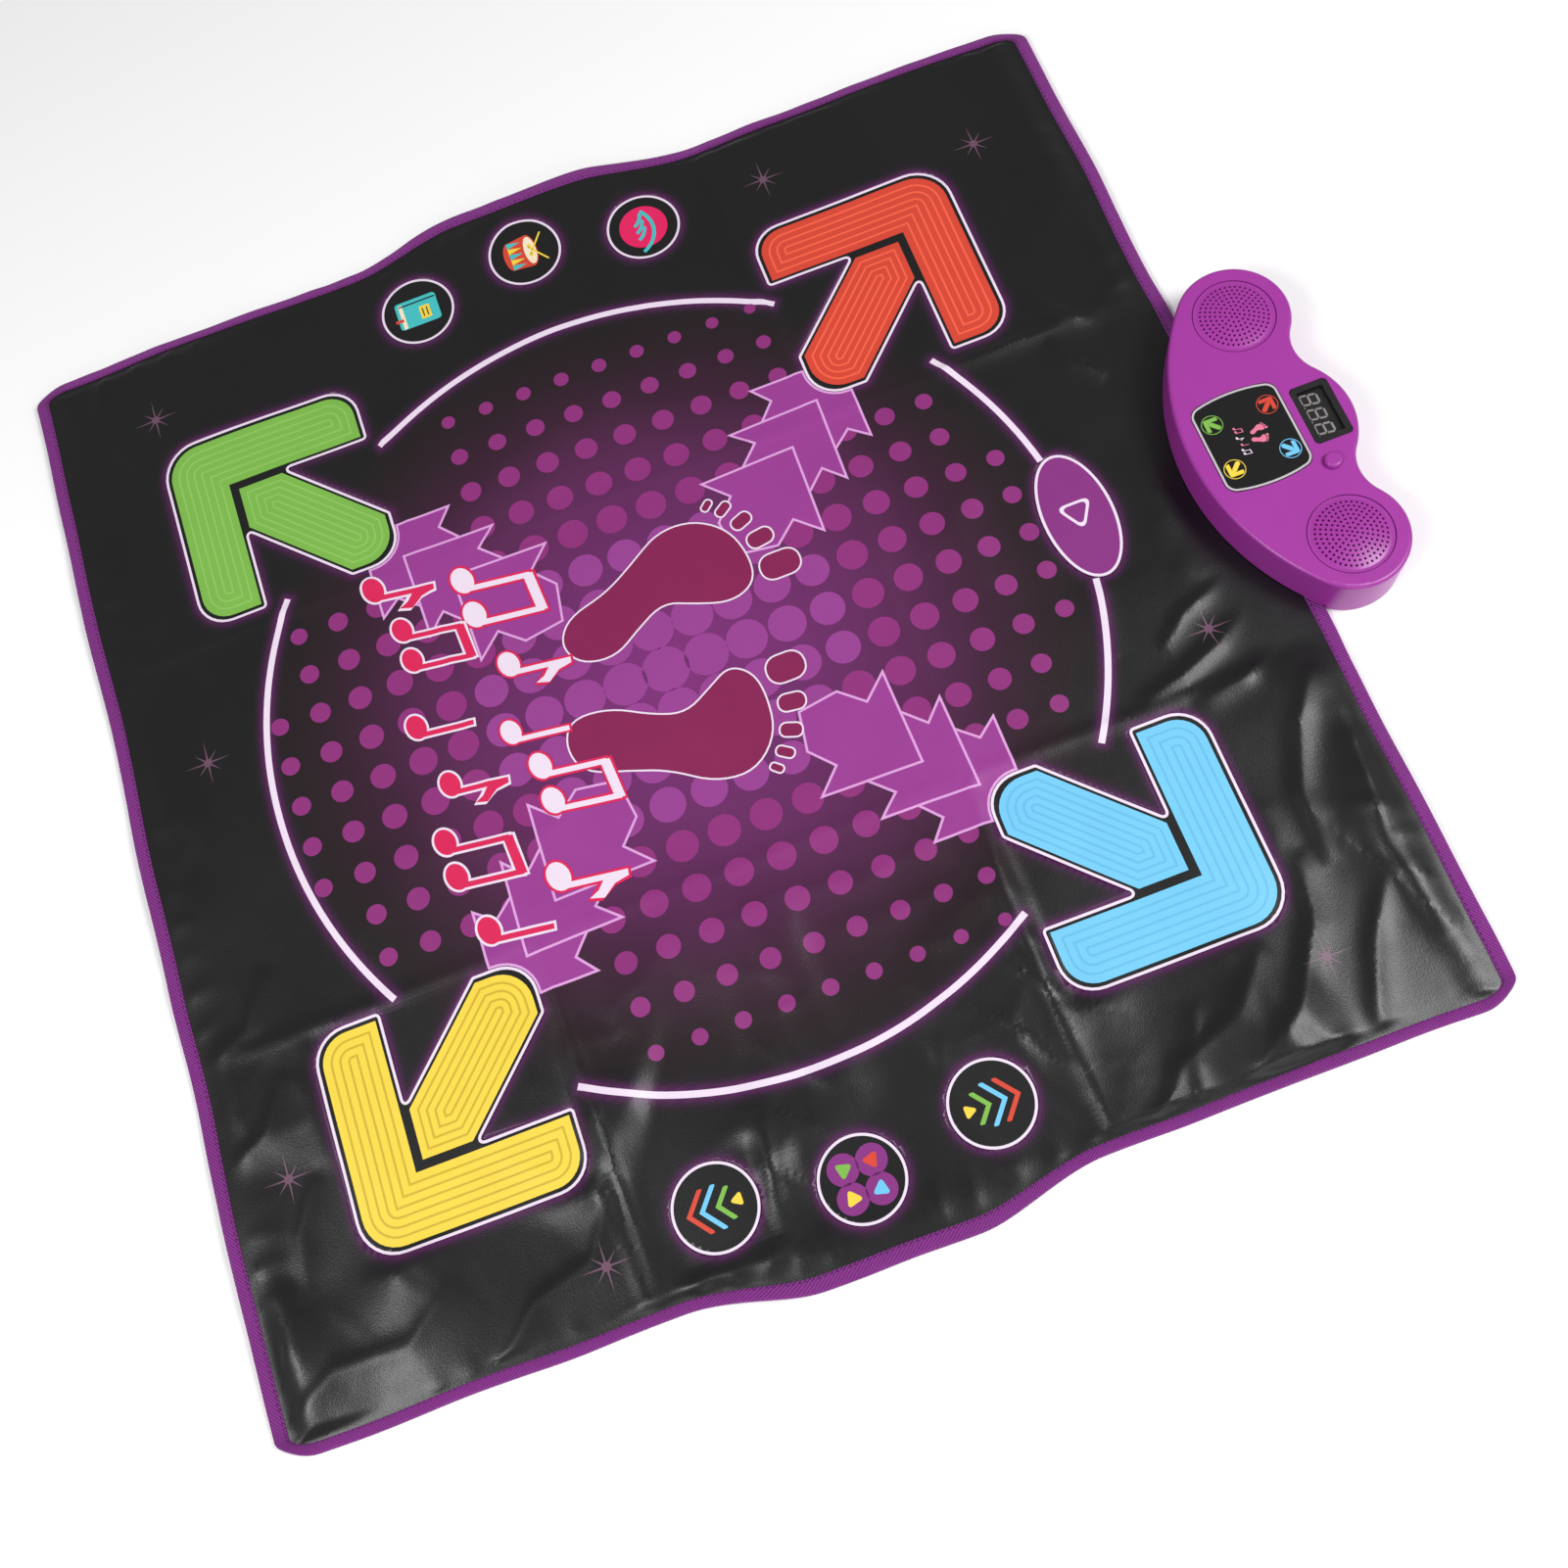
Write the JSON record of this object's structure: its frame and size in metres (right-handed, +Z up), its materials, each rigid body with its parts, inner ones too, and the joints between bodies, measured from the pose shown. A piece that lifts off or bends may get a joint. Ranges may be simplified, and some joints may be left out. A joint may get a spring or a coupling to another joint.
{
  "type": "dance mat with music console",
  "caption": "Layered foldable dance mat with arrow and round step pads, bound all round and clamped to a lobed console with speakers, a display window, a label panel and a push button.",
  "frame": {"origin": "middle of the mat's underside, on the floor", "axes": "+X right when facing the console, +Y from the player to the console, +Z up"},
  "size_m": [0.93, 0.976, 0.0445],
  "materials": {
    "printed_vinyl": "satin",
    "red_print": "satin",
    "blue_print": "satin",
    "green_print": "satin",
    "yellow_print": "satin",
    "purple_print": "satin",
    "contact_film": "clear",
    "foam": "matte",
    "non_slip_cloth": "matte",
    "binding_tape": "woven",
    "purple_abs": "satin",
    "base_abs": "satin",
    "black_plastic": "satin",
    "white_plastic": "satin",
    "label_print": "gloss",
    "smoked_lens": "clear",
    "led_lens": "clear",
    "screw_steel": "plated",
    "contact_metal": "plated",
    "speaker_steel": "satin",
    "magnet": "matte",
    "cone_paper": "matte",
    "circuit_board": "satin",
    "foot_rubber": "matte",
    "cell_jacket": "gloss",
    "lead_wire": "satin"
  },
  "bodies": {
    "mat_and_console": {"battery_cells": "cell_jacket", "battery_contact_plates": "contact_metal", "battery_contact_springs": "contact_metal", "battery_leads": "lead_wire", "board_screws": "screw_steel", "display_window": "smoked_lens", "edge_binding": "binding_tape", "filter_capacitors": "black_plastic", "foam_spacer": "foam", "housing_screws": "screw_steel", "indicator_leds": "led_lens", "label_panel": "label_print", "led_display": "black_plastic", "left_speaker_frame": "speaker_steel", "left_speaker_grille": "purple_abs", "left_speaker_lead": "lead_wire", "left_speaker_magnet": "magnet", "lower_contact_film": "contact_film", "lower_housing": "base_abs", "main_circuit_board": "circuit_board", "mat_clamp_bar": "black_plastic", "mat_clamp_screws": "screw_steel", "membrane_connector": "black_plastic", "membrane_tail": "contact_film", "non_slip_backing": "non_slip_cloth", "power_switch_body": "black_plastic", "printed_top_sheet": "printed_vinyl", "right_speaker_frame": "speaker_steel", "right_speaker_grille": "purple_abs", "right_speaker_lead": "lead_wire", "right_speaker_magnet": "magnet", "rubber_feet": "foot_rubber", "sound_chip": "black_plastic", "speaker_screws": "screw_steel", "upper_contact_film": "contact_film", "upper_housing": "purple_abs"},
    "arrow_pad_back_left": {"arrow_pad_back_left": "red_print"},
    "arrow_pad_back_right": {"arrow_pad_back_right": "blue_print"},
    "arrow_pad_front_left": {"arrow_pad_front_left": "green_print"},
    "arrow_pad_front_right": {"arrow_pad_front_right": "yellow_print"},
    "round_pad_left_back": {"round_pad_left_back": "printed_vinyl"},
    "round_pad_left_front": {"round_pad_left_front": "printed_vinyl"},
    "round_pad_left_middle": {"round_pad_left_middle": "printed_vinyl"},
    "round_pad_right_back": {"round_pad_right_back": "printed_vinyl"},
    "round_pad_right_front": {"round_pad_right_front": "printed_vinyl"},
    "round_pad_right_middle": {"round_pad_right_middle": "printed_vinyl"},
    "start_pad": {"start_pad": "purple_print"},
    "power_button": {"power_button_cap": "purple_abs", "power_switch_plunger": "white_plastic"},
    "battery_door": {"battery_door": "base_abs", "battery_door_screw": "screw_steel"},
    "left_cone": {"left_speaker_cone": "cone_paper"},
    "right_cone": {"right_speaker_cone": "cone_paper"}
  },
  "joints": [
    {"name": "arrow_pad_back_left_press", "type": "slide", "parent": "mat_and_console", "child": "arrow_pad_back_left", "axis": [0, 0, -1], "range_m": [0, 0.0022], "stiffness_N_per_m": 900},
    {"name": "arrow_pad_back_right_press", "type": "slide", "parent": "mat_and_console", "child": "arrow_pad_back_right", "axis": [0, 0, -1], "range_m": [0, 0.0022], "stiffness_N_per_m": 900},
    {"name": "arrow_pad_front_left_press", "type": "slide", "parent": "mat_and_console", "child": "arrow_pad_front_left", "axis": [0, 0, -1], "range_m": [0, 0.0022], "stiffness_N_per_m": 900},
    {"name": "arrow_pad_front_right_press", "type": "slide", "parent": "mat_and_console", "child": "arrow_pad_front_right", "axis": [0, 0, -1], "range_m": [0, 0.0022], "stiffness_N_per_m": 900},
    {"name": "round_pad_left_back_press", "type": "slide", "parent": "mat_and_console", "child": "round_pad_left_back", "axis": [0, 0, -1], "range_m": [0, 0.0022], "stiffness_N_per_m": 600},
    {"name": "round_pad_left_front_press", "type": "slide", "parent": "mat_and_console", "child": "round_pad_left_front", "axis": [0, 0, -1], "range_m": [0, 0.0022], "stiffness_N_per_m": 600},
    {"name": "round_pad_left_middle_press", "type": "slide", "parent": "mat_and_console", "child": "round_pad_left_middle", "axis": [0, 0, -1], "range_m": [0, 0.0022], "stiffness_N_per_m": 600},
    {"name": "round_pad_right_back_press", "type": "slide", "parent": "mat_and_console", "child": "round_pad_right_back", "axis": [0, 0, -1], "range_m": [0, 0.0022], "stiffness_N_per_m": 600},
    {"name": "round_pad_right_front_press", "type": "slide", "parent": "mat_and_console", "child": "round_pad_right_front", "axis": [0, 0, -1], "range_m": [0, 0.0022], "stiffness_N_per_m": 600},
    {"name": "round_pad_right_middle_press", "type": "slide", "parent": "mat_and_console", "child": "round_pad_right_middle", "axis": [0, 0, -1], "range_m": [0, 0.0022], "stiffness_N_per_m": 600},
    {"name": "start_pad_press", "type": "slide", "parent": "mat_and_console", "child": "start_pad", "axis": [0, 0, -1], "range_m": [0, 0.0022], "stiffness_N_per_m": 600},
    {"name": "power_button_press", "type": "slide", "parent": "mat_and_console", "child": "power_button", "axis": [0, 0, -1], "range_m": [0, 0.001], "stiffness_N_per_m": 1500},
    {"name": "battery_door_off", "type": "slide", "parent": "mat_and_console", "child": "battery_door", "axis": [0, 0, -1], "range_m": [0, 0.03]},
    {"name": "left_cone_travel", "type": "slide", "parent": "mat_and_console", "child": "left_cone", "axis": [0, 0, 1], "range_m": [-0.0005, 0.0005], "stiffness_N_per_m": 2000},
    {"name": "right_cone_travel", "type": "slide", "parent": "mat_and_console", "child": "right_cone", "axis": [0, 0, 1], "range_m": [-0.0005, 0.0005], "stiffness_N_per_m": 2000}
  ]
}
